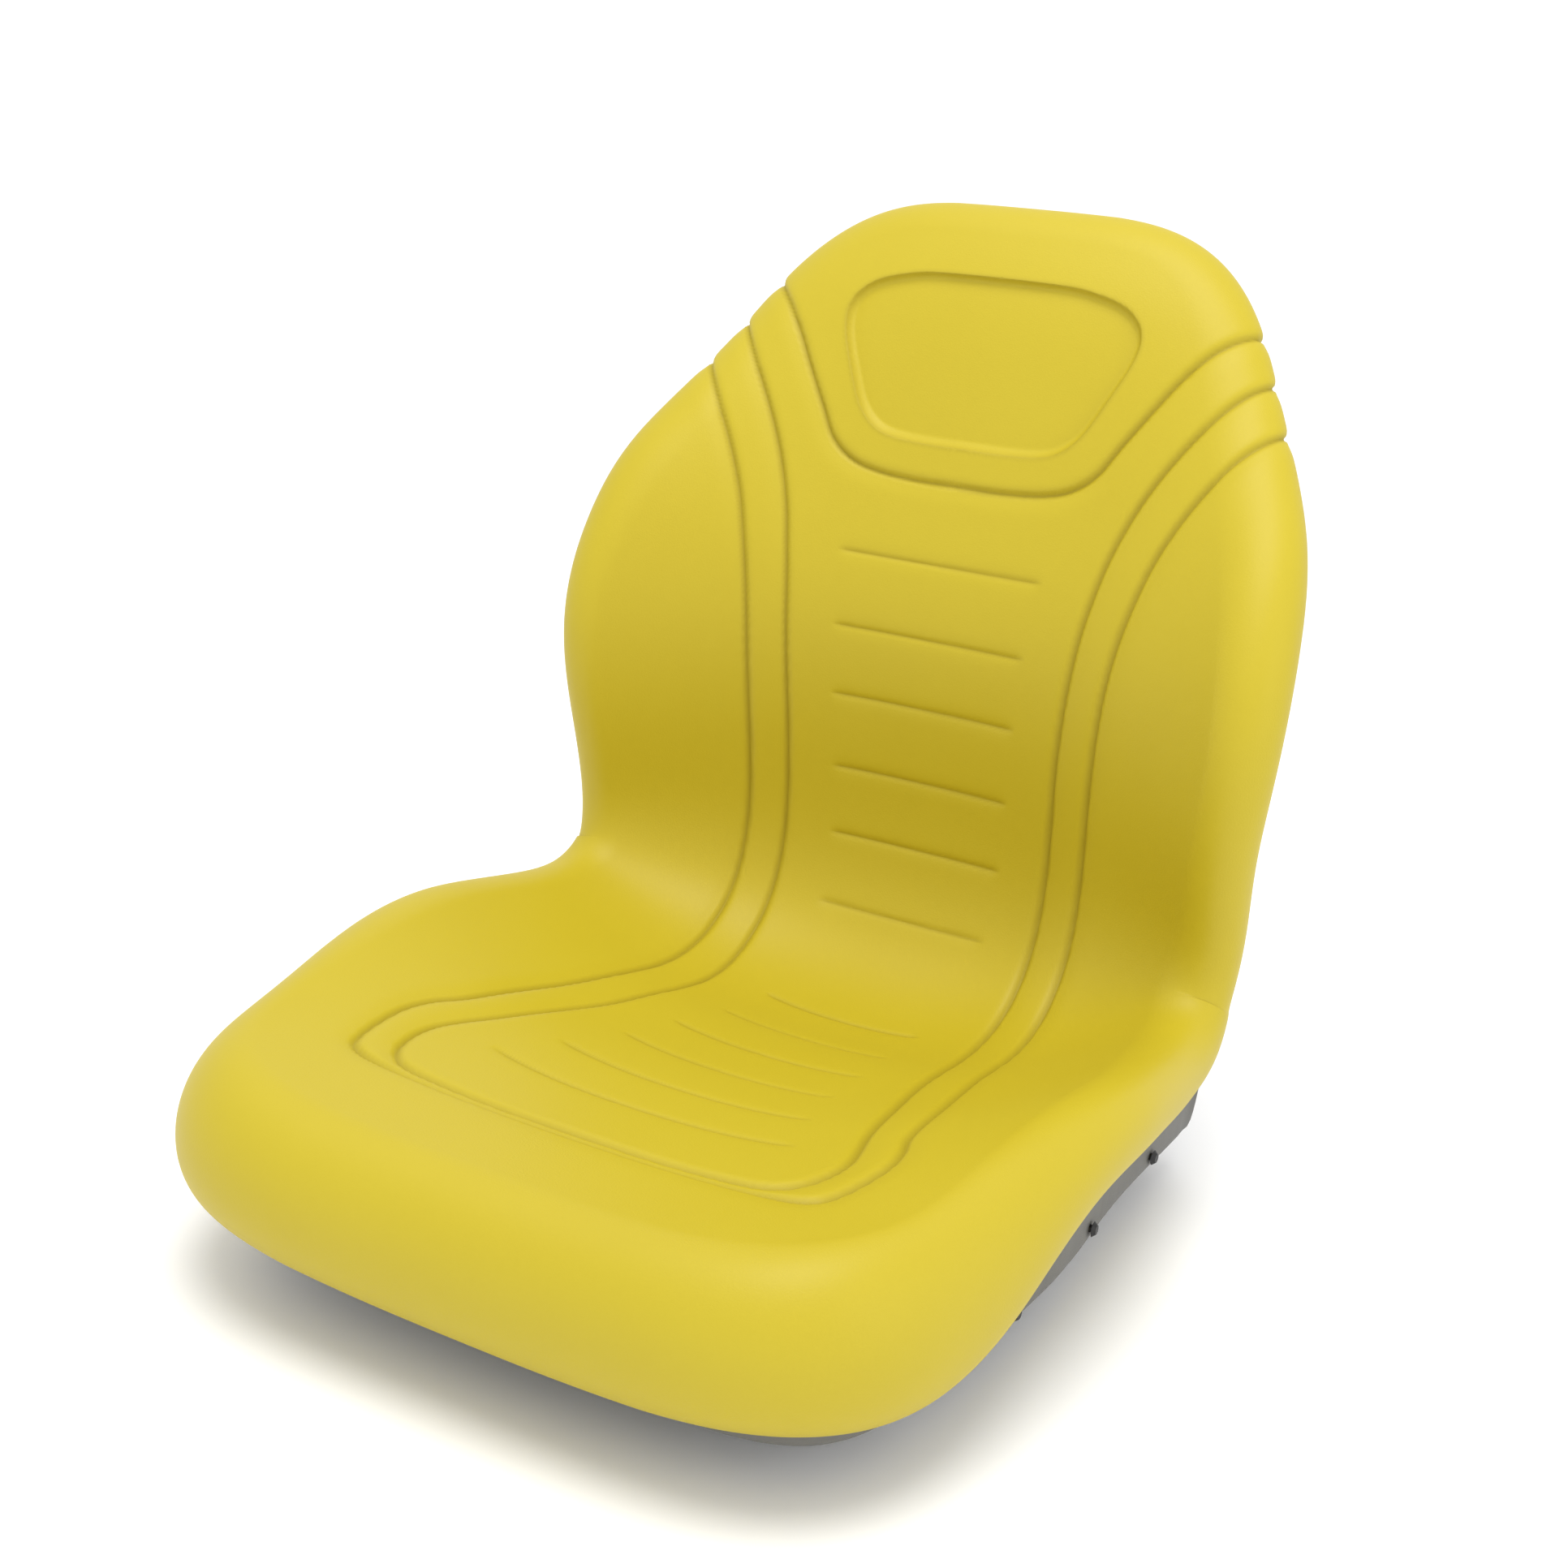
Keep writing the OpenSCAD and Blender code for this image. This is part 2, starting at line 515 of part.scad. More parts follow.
seat_skin();
foam_core();
seat_pan();
threaded_inserts();
shell_clips();
drain_grommets();
switch_housing();
switch_retainer();
switch_plunger();
switch_spring();
switch_terminals();
upper_rail_left();
upper_rail_right();
rail_bolts();
rail_washers();
glide_shoes();
lever_pivot();
lever_spring();
adjust_lever();
lever_grip();
lower_rail_left();
lower_rail_right();
latch_rack();
rack_rivets();
rail_stops();
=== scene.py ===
import math

import bpy
import numpy as np
from mathutils import Matrix, Vector


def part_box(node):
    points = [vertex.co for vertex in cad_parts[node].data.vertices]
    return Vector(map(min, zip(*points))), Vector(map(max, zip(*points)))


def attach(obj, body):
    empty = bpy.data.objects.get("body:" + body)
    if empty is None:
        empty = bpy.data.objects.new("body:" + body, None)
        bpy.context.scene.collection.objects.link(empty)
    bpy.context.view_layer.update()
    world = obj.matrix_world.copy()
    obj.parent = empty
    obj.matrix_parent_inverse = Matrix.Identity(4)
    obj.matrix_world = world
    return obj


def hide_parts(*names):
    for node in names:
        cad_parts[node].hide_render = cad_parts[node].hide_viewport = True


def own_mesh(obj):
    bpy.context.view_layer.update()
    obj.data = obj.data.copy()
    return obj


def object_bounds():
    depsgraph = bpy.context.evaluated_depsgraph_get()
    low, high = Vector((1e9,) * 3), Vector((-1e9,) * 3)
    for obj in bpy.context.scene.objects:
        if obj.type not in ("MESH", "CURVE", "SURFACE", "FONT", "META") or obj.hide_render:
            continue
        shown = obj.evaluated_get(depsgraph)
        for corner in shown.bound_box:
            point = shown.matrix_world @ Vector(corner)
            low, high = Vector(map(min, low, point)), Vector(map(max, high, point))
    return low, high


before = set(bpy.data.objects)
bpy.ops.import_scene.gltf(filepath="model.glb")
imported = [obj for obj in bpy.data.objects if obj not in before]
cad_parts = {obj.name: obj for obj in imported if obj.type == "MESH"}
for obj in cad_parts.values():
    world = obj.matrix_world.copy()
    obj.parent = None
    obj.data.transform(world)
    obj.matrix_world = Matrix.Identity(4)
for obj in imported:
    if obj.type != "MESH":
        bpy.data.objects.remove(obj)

cad_low, cad_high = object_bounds()


# ---- Lower slide rails
# Two cold-rolled steel channels with turned-in lips, bolted down to the machine's platform.
# Zinc plated and passivated: a slightly blue, patchy grey with fine rolling marks along the length.

class Wire:
    """An output socket in a material's node tree. Sums and products with it add Math nodes."""

    def __init__(self, tree, socket=None):
        self.tree = tree
        self.socket = socket

    def add(self, kind, settings, sockets, output=0):
        """Adds a node: its settings first, then a value or a link for each of its sockets."""
        node = self.tree.nodes.new(kind)
        for name, value in settings.items():
            if name == "stops":
                for extra in range(len(value) - 2):
                    node.color_ramp.elements.new(0.5)
                for stop, (position, colour) in zip(node.color_ramp.elements, value):
                    stop.position = position
                    stop.color = colour
            else:
                setattr(node, name, value)
        for name, value in sockets.items():
            if isinstance(value, Wire):
                self.tree.links.new(value.socket, node.inputs[name])
            else:
                node.inputs[name].default_value = value
        return Wire(self.tree, node.outputs[output])

    def maths(self, operation, first, second=0.0):
        return self.add("ShaderNodeMath", {"operation": operation}, {0: first, 1: second})

    def __add__(self, other):
        return self.maths("ADD", self, other)

    def __radd__(self, other):
        return self.maths("ADD", other, self)

    def __sub__(self, other):
        return self.maths("SUBTRACT", self, other)

    def __rsub__(self, other):
        return self.maths("SUBTRACT", other, self)

    def __mul__(self, other):
        return self.maths("MULTIPLY", self, other)

    def __rmul__(self, other):
        return self.maths("MULTIPLY", other, self)

    def clamped(self):
        return self.maths("MINIMUM", self.maths("MAXIMUM", self, 0.0), 1.0)

    def blend(self, first, second):
        """This value mixes one colour into another."""
        settings = {"data_type": "RGBA"}
        return self.add("ShaderNodeMix", settings, {0: self, 6: first, 7: second}, output=2)


class Finish:
    """A new material with one Principled shader, and the object's own coordinates to work from."""

    def __init__(self, name, roughness, metallic=0.0, specular=0.5, coat=0.0, coat_roughness=0.1):
        self.material = bpy.data.materials.new(name)
        self.material.use_nodes = True
        tree = self.material.node_tree
        self.shader = tree.nodes["Principled BSDF"]
        self.start = Wire(tree)
        self.place = self.start.add("ShaderNodeTexCoord", {}, {}, output=3)
        constants = {"Roughness": roughness, "Metallic": metallic, "Specular IOR Level": specular,
                     "Coat Weight": coat, "Coat Roughness": coat_roughness}
        for socket, value in constants.items():
            self.shader.inputs[socket].default_value = value

    def stretched(self, x, y, z):
        """The object's coordinates, scaled along each axis."""
        return self.start.add("ShaderNodeVectorMath", {"operation": "MULTIPLY"},
                              {0: self.place, 1: (x, y, z)})

    def noise(self, scale, detail=3.0, roughness=0.5, at=None, seed=0.0):
        return self.start.add("ShaderNodeTexNoise", {"noise_dimensions": "4D"},
                              {"Vector": at or self.place, "W": seed, "Scale": scale, "Detail": detail,
                               "Roughness": roughness})

    def cells(self, scale, feature="F1"):
        return self.start.add("ShaderNodeTexVoronoi", {"feature": feature},
                              {"Vector": self.place, "Scale": scale})

    def edges(self, low, high):
        """1 on a convex edge and 0 elsewhere."""
        pointy = self.start.add("ShaderNodeNewGeometry", {}, {}, output=7)
        return ((pointy - low) * (1 / (high - low))).clamped()

    def set(self, socket, wire):
        self.start.tree.links.new(wire.socket, self.shader.inputs[socket])

    def bump(self, height, distance, strength=1.0):
        """height is from 0 to 1 and distance is what 1 stands for, in metres."""
        normal = self.start.add("ShaderNodeBump", {}, {"Height": height, "Distance": distance,
                                                      "Strength": strength})
        self.set("Normal", normal)


def linear(red, green, blue):
    """A colour given in 0-255 display steps, as the shader wants it."""
    steps = [c / 255 for c in (red, green, blue)]
    return tuple(c / 12.92 if c <= 0.04045 else ((c + 0.055) / 1.055) ** 2.4 for c in steps) + (1.0,)


def coat_node(finish, *nodes):
    """Puts a finish on CAD nodes that are shown as they are."""
    for node in nodes:
        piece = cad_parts[node]
        piece.data.materials.clear()
        piece.data.materials.append(finish.material)


zinc = Finish("zinc plate", roughness=0.34, metallic=1.0)
patches = zinc.noise(38, detail=4)
rolling = zinc.noise(60, detail=2, at=zinc.stretched(14, 0.5, 14))
zinc_tone = (patches * 0.6 + rolling * 0.4).clamped()
zinc.set("Base Color", zinc_tone.blend(linear(150, 153, 158), linear(205, 207, 210)))
zinc.set("Roughness", 0.24 + patches * 0.22)
zinc.bump(rolling, 0.00004)
coat_node(zinc, "lower_rail_left", "lower_rail_right")


# ---- Rail stops and latch rack
# Turned stop pins pressed into the lower rails, and a notched steel strip riveted along the left one.
# Bare steel with a light oil film, machined: darker than the plated rails.
steel = Finish("machined steel", roughness=0.3, metallic=1.0)
turning = steel.noise(900, detail=2, at=steel.stretched(1, 1, 0.2))
oil = steel.noise(55, detail=3, seed=4.0)
steel.set("Base Color", (oil * 0.7 + turning * 0.3).blend(linear(104, 104, 106), linear(164, 165, 168)))
steel.set("Roughness", 0.2 + oil * 0.25)
steel.bump(turning, 0.00002)
coat_node(steel, "rail_stops", "latch_rack", "rack_rivets")


# ---- Upper slide rails
# Folded steel, phosphated and painted satin black, bolted to the pan. They run over the lower rails.
black_paint = Finish("satin black paint", roughness=0.42, specular=0.5, coat=0.15, coat_roughness=0.35)
orange_peel = black_paint.noise(420, detail=2)
handling = black_paint.noise(26, detail=5, seed=2.0)
black_paint.set("Base Color", handling.blend(linear(19, 19, 20), linear(34, 34, 36)))
black_paint.set("Roughness", 0.34 + handling * 0.2)
black_paint.bump(orange_peel, 0.00006)
coat_node(black_paint, "upper_rail_left", "upper_rail_right")


# ---- Glide shoes
# Eight acetal blocks between upper and lower rail. Pale, slightly waxy, a little grey from wear.
acetal = Finish("acetal", roughness=0.45, specular=0.45)
rubbed = acetal.noise(70, detail=4)
acetal.set("Base Color", rubbed.blend(linear(196, 194, 184), linear(226, 225, 217)))
acetal.set("Roughness", 0.36 + rubbed * 0.2)
acetal.bump(acetal.noise(500), 0.00003)
coat_node(acetal, "glide_shoes", "switch_plunger")


# ---- Rail bolts, washers and threaded inserts
# Hexagon bolts with plain washers into steel inserts in the pan, zinc plated with a brushed look.
fastener = Finish("bright zinc", roughness=0.28, metallic=1.0)
swirl = fastener.noise(240, detail=3)
fastener.set("Base Color", swirl.blend(linear(168, 170, 172), linear(214, 215, 216)))
fastener.set("Roughness", 0.2 + swirl * 0.22)
fastener.bump(swirl, 0.00003)
coat_node(fastener, "rail_bolts", "rail_washers", "threaded_inserts")


# ---- Adjusting lever and its pin
# A flat steel bar that swings on a shouldered pin under the left-hand rail's ear. Painted black like
# the rail, with the pin left plated.
coat_node(black_paint, "adjust_lever")
coat_node(fastener, "lever_pivot")


# ---- Springs
# The lever's return spring stands round its pin, and a second one holds the switch plunger up.
# Both are wound from music wire with closed end turns.
def new_piece(name, verts, faces, material, smooth=True):
    """An object at the origin with one mesh and one material."""
    mesh = bpy.data.meshes.new(name)
    mesh.from_pydata(verts, [], faces)
    mesh.validate()
    mesh.polygons.foreach_set("use_smooth", [smooth] * len(mesh.polygons))
    mesh.materials.append(material)
    piece = bpy.data.objects.new(name, mesh)
    bpy.context.scene.collection.objects.link(piece)
    return piece


def tube_faces(rows, around):
    """Faces between rows of points that go round, then one end cap at each end."""
    faces = []
    for k in range(rows - 1):
        for i in range(around):
            a, b = k * around + i, k * around + (i + 1) % around
            faces.append((a, b, b + around, a + around))
    faces.append(tuple(range(around))[::-1])
    faces.append(tuple((rows - 1) * around + i for i in range(around)))
    return faces


def wound_spring(name, node, wire, turns, body, finish):
    """A helical spring that fills its CAD node's box, with one closed turn at each end."""
    low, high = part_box(node)
    centre = (low + high) / 2
    radius = (high.x - low.x) / 2 - wire / 2
    around, steps = 12, 28
    total = turns + 2
    count = total * steps + 1
    rise = high.z - low.z - wire
    verts = []
    for k in range(count):
        turn = k / steps
        share = min(max((turn - 1) / turns, 0), 1)
        ends = wire * (min(turn, 1) + max(turn - turns - 1, 0))
        height = low.z + wire / 2 + ends + share * (rise - 2 * wire)
        angle = 2 * math.pi * turn
        out = Vector((math.cos(angle), math.sin(angle), 0))
        hub = Vector((centre.x, centre.y, height)) + out * radius
        for i in range(around):
            a = 2 * math.pi * i / around
            verts.append(hub + out * (math.cos(a) * wire / 2) + Vector((0, 0, math.sin(a) * wire / 2)))
    piece = new_piece(name, verts, tube_faces(count, around), finish.material)
    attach(piece, body)
    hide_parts(node)
    return piece


music_wire = Finish("music wire", roughness=0.3, metallic=1.0)
drawn = music_wire.noise(300, detail=2)
music_wire.set("Base Color", drawn.blend(linear(92, 92, 95), linear(140, 140, 144)))
music_wire.set("Roughness", 0.22 + drawn * 0.2)
music_wire.bump(drawn, 0.00002)
wound_spring("return_spring", "lever_spring", 0.0014, 4, "seat", music_wire)
plunger_spring = wound_spring("plunger_spring", "switch_spring", 0.0012, 4, "seat", music_wire)
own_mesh(plunger_spring)


# ---- Seat switch
# A glass-filled nylon body that drops through the pan and is held by a ring nut, with two brass blades
# in its plug socket.
nylon = Finish("black nylon", roughness=0.5, specular=0.45)
fibres = nylon.noise(700, detail=3, at=nylon.stretched(1, 3, 1))
nylon.set("Base Color", fibres.blend(linear(22, 22, 23), linear(38, 38, 39)))
nylon.set("Roughness", 0.42 + fibres * 0.2)
nylon.bump(fibres, 0.00004)
coat_node(nylon, "switch_housing", "switch_retainer", "shell_clips")

brass = Finish("tinned brass", roughness=0.3, metallic=1.0)
tarnish = brass.noise(180, detail=3)
brass.set("Base Color", tarnish.blend(linear(150, 118, 62), linear(196, 164, 96)))
brass.set("Roughness", 0.24 + tarnish * 0.2)
coat_node(brass, "switch_terminals")


# ---- Drain grommets
# Two soft rubber rings pressed into the pan's floor.
rubber = Finish("black rubber", roughness=0.7, specular=0.35)
bloom = rubber.noise(90, detail=4)
rubber.set("Base Color", bloom.blend(linear(20, 20, 20), linear(40, 40, 39)))
rubber.set("Roughness", 0.6 + bloom * 0.25)
rubber.bump(rubber.noise(900), 0.00005)
coat_node(rubber, "drain_grommets", "lever_grip")


# ---- Pan
# One injection-moulded polypropylene shell under the seat and up the back. Its rim carries the
# cushion's edge, its floor sits on the rails, and five moulded ribs stiffen the back.
millimetre = 0.001

# Sections across the seat, every station from the front lip to the top edge: the middle of the
# sitting surface (y, z), half width of the flat, rise of the wings, bulge and thickness of the edge.
middle = np.array([(-244, 126), (-184, 121), (-126, 112), (-63, 104), (-6, 93), (48, 88), (100, 76),
                   (151, 82), (192, 114), (204, 169), (197, 231), (191, 292), (198, 345), (215, 398),
                   (230, 457), (248, 516), (271, 550)], float)
half_width = np.array([206, 210, 204, 205, 210, 203, 194, 192, 188, 197, 200, 209, 198, 183, 155, 141, 137.0])
wing_rise = np.array([18, 15, 30, 40, 43, 43, 52, 52, 56, 53, 60, 56, 50, 41, 13, -15, -25.0])
edge_bulge = np.array([37, 25, 26, 28, 26, 27, 29, 30, 29, 24, 21, 20, 29, 39, 41, 38, 32.0])
edge_thickness = np.array([89, 95, 70, 54, 47, 47, 49, 50, 49, 44, 43, 45, 54, 56, 49, 44, 50.0])
front_corner = 6.7
top_corner = 5.4
wing_power = 2.7
last = len(middle) - 1.0
spine_share = 0.6     # length of the line that the rows fold onto, as a share of the seat's
floor_share = 0.76    # where the pan's floor ends, as a share of the way to the edge
floor_end = 9.8       # station where the pan's flat floor has given way to the back
floor_fade = 1.8      # stations that the change takes
side_inset = 24.0
inset_taper = 7.0     # the wall stands this much further in by the thighs, and less up the back
taper_start = 4.0     # station where that starts to change
taper_length = 3.5    # stations that the change takes
front_inset = 6.0


def spline(points, at):
    """A uniform cubic B-spline through a list of stations, at fractional station numbers."""
    at = np.clip(np.asarray(at, float), 0, last - 1e-6)
    i = np.floor(at).astype(int)
    f = at - i
    padded = np.concatenate([[2 * points[0] - points[1]], points, [2 * points[-1] - points[-2]]])
    weights = ((1 - f) ** 3, 3 * f ** 3 - 6 * f ** 2 + 4, -3 * f ** 3 + 3 * f ** 2 + 3 * f + 1, f ** 3)
    total = 0
    for k, weight in enumerate(weights):
        total = total + padded[i + k] * (weight if points.ndim == 1 else weight[..., None])
    return total / 6


def rounded_step(share):
    """0 before 0, 1 after 1 and a smooth rise between them."""
    share = np.clip(share, 0, 1)
    return share * share * (3 - 2 * share)


def unit(vectors):
    return vectors / np.maximum(np.linalg.norm(vectors, axis=-1, keepdims=True), 1e-9)


def sitting_surface(at, across):
    """Points of the surface that is sat on, at a station and a distance from the centre line."""
    at = np.clip(at, 0.01, last - 0.01)
    way = unit(spline(middle, at + 0.005) - spline(middle, at - 0.005))
    rise = spline(wing_rise, at) * (np.abs(across) / 200) ** wing_power
    centre = spline(middle, at)
    return np.stack([np.broadcast_to(across, rise.shape), centre[..., 0] - way[..., 1] * rise,
                     centre[..., 1] + way[..., 0] * rise], axis=-1)


def surface_normal(at, across):
    at = np.clip(at, 0.02, last - 0.02)
    over = sitting_surface(at, across + 0.5) - sitting_surface(at, across - 0.5)
    along = sitting_surface(at + 0.005, across) - sitting_surface(at - 0.005, across)
    return unit(np.cross(over, along))


class Outline:
    """Half of the cushion's edge, from the middle of the front to the middle of the top, in even
    steps, with what the rolled edge and the pan need at each step."""

    def __init__(self, steps):
        turn = np.linspace(0, 1, 1500)
        front = 0.5 ** (1 / front_corner)
        top = 0.5 ** (1 / top_corner)
        side = np.linspace(front, -top, 3000)
        power = np.where(side > 0, front_corner, top_corner)
        forward = np.concatenate([(1 - (turn * front) ** front_corner) ** (1 / front_corner), side[1:-1],
                                  -(1 - (turn[::-1] * top) ** top_corner) ** (1 / top_corner)])
        sideways = np.concatenate([turn * front, ((1 - np.abs(side) ** power) ** (1 / power))[1:-1],
                                   turn[::-1] * top])
        at = last / 2 * (1 - forward)
        across = spline(half_width, at) * sideways
        points = sitting_surface(at, across)
        walked = np.concatenate([[0], np.cumsum(np.linalg.norm(np.diff(points, axis=0), axis=1))])
        even = np.linspace(0, walked[-1], steps + 1)
        self.steps = steps
        self.at = np.interp(even, walked, at)
        self.across = np.interp(even, walked, across)
        self.across[[0, -1]] = 0
        self.forward = 1 - 2 * self.at / last
        self.spine = last / 2 * (1 - spine_share * np.cos(np.pi * np.arange(steps + 1) / steps))
        self.edge = sitting_surface(self.at, self.across)
        self.normal = surface_normal(self.at, self.across)
        ends = np.array([-1, 1, 1])
        before = np.concatenate([self.edge[1:2] * ends, self.edge[:-1]])
        after = np.concatenate([self.edge[1:], self.edge[-2:-1] * ends])
        out = unit(np.cross(after - before, self.normal))
        inwards = ((self.edge - sitting_surface(self.spine, self.spine * 0)) * out).sum(1) < 0
        self.out = np.where(inwards[:, None], -out, out)
        self.thickness = spline(edge_thickness, self.at)
        self.bulge = spline(edge_bulge, self.at)

    def under_seat(self, at):
        """1 under the seat, where the pan has a flat floor, and 0 up the back."""
        return rounded_step((floor_end - at) / floor_fade)

    def wall_inset(self):
        """How far the pan's wall stands in from the cushion's edge."""
        side = side_inset + inset_taper * (1 - 2 * np.clip((self.at - taper_start) / taper_length, 0, 1))
        return side - (side - front_inset) * np.maximum(0, self.forward) ** 3

    def top_row(self, share):
        at = self.spine + (self.at - self.spine) * share
        return at, self.across * share

    def floor_row(self, share, below, floor):
        at, across = self.top_row(share)
        low = sitting_surface(at, across)
        low = low - surface_normal(at, across) * (spline(edge_thickness, at) + below)[:, None]
        flat = self.under_seat(at)
        low[:, 2] = low[:, 2] * (1 - flat) + floor * flat
        return low

    def wall_row(self, extra, below, floor, low):
        inset = self.wall_inset() + extra
        row = self.edge - self.normal * (self.thickness + below)[:, None] - self.out * inset[:, None]
        flat = self.under_seat(self.at) * low
        row[:, 2] = row[:, 2] * (1 - flat) + floor * flat
        return row


def closed_skin(name, rows, finish):
    """A closed mesh through rows of points, each half a loop from the front to the top. The other
    half is the mirror image, and the first and last rows are folded onto the centre line."""
    half = rows[0].shape[0]
    loop = 2 * (half - 1)
    full = np.concatenate([rows, (rows * np.array([-1, 1, 1]))[:, -2:0:-1]], axis=1)
    inner = full[1:-1].reshape(-1, 3)
    verts = np.concatenate([rows[0] * (0, 1, 1), inner, rows[-1] * (0, 1, 1)])
    count = len(rows)
    number = np.zeros((count, loop), int)
    folded = np.concatenate([np.arange(half), np.arange(half - 2, 0, -1)])
    number[0] = folded
    number[1:-1] = half + np.arange((count - 2) * loop).reshape(count - 2, loop)
    number[-1] = half + (count - 2) * loop + folded
    after = np.roll(number, -1, axis=1)
    quads = np.stack([number[:-1], after[:-1], after[1:], number[1:]], axis=-1).reshape(-1, 4)
    return new_piece(name, (verts * millimetre).tolist(), quads.tolist(), finish.material)


def round_holes(piece, places, radius, low, high):
    """Drills upright holes at each place, with the piece's own finish on their walls."""
    sides = 40
    verts, faces = [], []
    for x, y in places:
        faces += [tuple(len(verts) + k for k in face) for face in tube_faces(2, sides)]
        ring = [(x + radius * math.cos(2 * math.pi * k / sides),
                 y + radius * math.sin(2 * math.pi * k / sides)) for k in range(sides)]
        verts += [(a * millimetre, b * millimetre, z * millimetre) for z in (low, high) for a, b in ring]
    drill = new_piece("drill", verts, faces, piece.data.materials[0], smooth=False)
    cut = piece.modifiers.new("holes", "BOOLEAN")
    cut.operation = "DIFFERENCE"
    cut.solver = "MANIFOLD"
    cut.object = drill
    shape = piece.evaluated_get(bpy.context.evaluated_depsgraph_get())
    drilled = bpy.data.meshes.new_from_object(shape)
    piece.modifiers.clear()
    piece.data = drilled
    bpy.data.objects.remove(drill)


polypropylene = Finish("grey polypropylene", roughness=0.55, specular=0.4)
flow = polypropylene.noise(9, detail=4)
stipple = polypropylene.noise(1500, detail=2)
scuffs = polypropylene.noise(30, detail=6, seed=3.0, at=polypropylene.stretched(1, 3, 1))
pan_tone = flow.blend(linear(92, 91, 87), linear(108, 107, 103))
worn_edge = polypropylene.edges(0.52, 0.6)
polypropylene.set("Base Color", (worn_edge * 0.4).blend(pan_tone, linear(138, 136, 130)))
polypropylene.set("Roughness", 0.46 + scuffs * 0.2)
polypropylene.bump(stipple, 0.00012)

base = 30.0  # height of the underside of the pan's floor
wall = 3.5
gap = 0.4    # between the pan and the cushion
rim = Outline(420)
shares = np.linspace(0, floor_share, 64)
inner_rows = [rim.floor_row(s, gap, base + wall) for s in shares]
rib_depth, rib_flank = 4.5, 8.0
# Each rib: off the centre line, bottom and top up the seat's middle line, half width.
ribs = [(0, 505, 800, 17), (62, 520, 775, 15), (118, 540, 725, 13)]


def rib_height(points, at):
    """How far the back stands out at each point: five upright ribs with round ends."""
    up = np.interp(at, np.linspace(0, last, 600), walked_up)
    depth = np.zeros(len(points))
    for centre, low, high, width in ribs:
        beyond = np.maximum(np.maximum(low - up, up - high), 0)
        off = np.hypot(np.abs(points[:, 0]) - centre, beyond)
        depth = np.maximum(depth, rib_depth * rounded_step((width - off) / rib_flank))
    return depth


fine = sitting_surface(np.linspace(0, last, 600), np.zeros(600))
walked_up = np.concatenate([[0], np.cumsum(np.linalg.norm(np.diff(fine, axis=0), axis=1))])
deep = gap + wall
outer_rows = []
for s in shares[::-1]:
    row = rim.floor_row(s, deep, base)
    at, across = rim.top_row(s)
    outer_rows.append(row - surface_normal(at, across) * rib_height(row, at)[:, None])
side = np.linspace(0, 1, 14)[1:-1, None, None]
inner_low, inner_high = rim.wall_row(wall + 1, gap, base + wall, 1), rim.wall_row(wall, gap, 0, 0)
outer_high, outer_low = rim.wall_row(0, deep, 0, 0), rim.wall_row(1, deep, base, 1)
flange = [rim.wall_row(-out, below, 0, 0)
          for out, below in ((1, gap), (2.2, gap + 0.6), (2.8, gap + 1.7), (2.2, deep - 0.6), (1, deep))]
up_wall, over_floor = outer_high - outer_low, outer_rows[0] - outer_low
corner_radius = 7.0
reach = [np.minimum(0.45, corner_radius / np.maximum(np.linalg.norm(v, axis=1), 1e-6))[:, None]
         for v in (up_wall, over_floor)]
first, second = outer_low + up_wall * reach[0], outer_low + over_floor * reach[1]
corner = [first * (1 - t) ** 2 + outer_low * 2 * t * (1 - t) + second * t ** 2
          for t in np.linspace(0, 1, 7)]
inner_wall = [inner_low] + list(inner_low + (inner_high - inner_low) * side) + [inner_high]
outer_wall = [outer_high] + list(outer_high + (first - outer_high) * side)
pan_rows = np.array(inner_rows + inner_wall + flange + outer_wall + corner + outer_rows)
pan = closed_skin("pan", pan_rows, polypropylene)
bolt_places = [(x, y) for x in (-143, 143) for y in (-130, 130)]
switch_place = [(0, 20)]
drain_places = [(-70, 105), (70, 105)]
insert_hole, switch_hole, drain_hole = 6.05, 12.9, 7.05
for places, radius in ((bolt_places, insert_hole), (switch_place, switch_hole), (drain_places, drain_hole)):
    round_holes(pan, places, radius, base - 8, base + wall + 8)
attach(pan, "seat")
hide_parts("seat_pan")


# ---- Cushion
# Seat, back and headrest are one polyurethane foam moulding with a skin of matte yellow vinyl, made
# in a single mould: the grooves, cross creases and the headrest's sunken field are formed with it.
def through(points, step=2.0):
    """A smooth line through points given as (up the seat, across, strength), mirrored at the start."""
    points = np.array(points, float)
    first = points[1] * (1, -1, 1)
    points = np.concatenate([[first], points, [2 * points[-1] - points[-2]]])
    line = []
    for a, b, c, d in zip(points[:-3], points[1:-2], points[2:-1], points[3:]):
        count = max(2, int(np.linalg.norm((c - b)[:2]) / step))
        for t in np.arange(count) / count:
            line.append(0.5 * (2 * b + (c - a) * t + (2 * a - 5 * b + 4 * c - d) * t * t
                               + (3 * b - a - 3 * c + d) * t ** 3))
    line.append(points[-2])
    return np.array(line)


